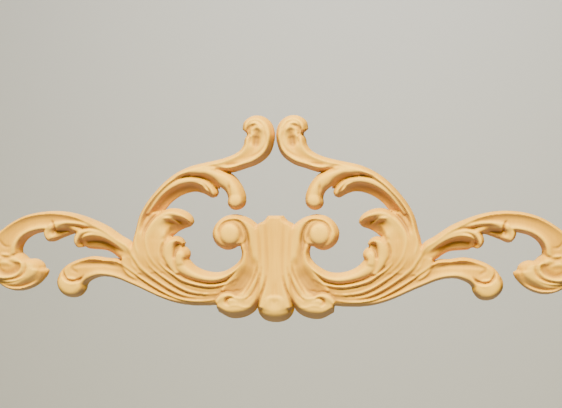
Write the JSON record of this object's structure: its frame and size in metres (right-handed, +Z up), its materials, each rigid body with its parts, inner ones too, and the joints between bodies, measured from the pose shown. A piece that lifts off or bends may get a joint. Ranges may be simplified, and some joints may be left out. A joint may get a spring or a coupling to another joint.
{
  "type": "carved wood applique",
  "caption": "Carved rococo pediment applique in pale wood: a fluted shell between two wings of S-scrolls, C-scrolls and acanthus leaves, with a flat back.",
  "frame": {"origin": "on the flat back, behind the middle of the shell", "axes": "+X to the right across the ornament, +Z up, carved face towards -Y, back towards +Y"},
  "size_m": [0.402, 0.0155, 0.1422],
  "materials": {
    "wood": "raw sanded pale hardwood, matt"
  },
  "bodies": {
    "root": {"applique": "wood"}
  },
  "joints": []
}
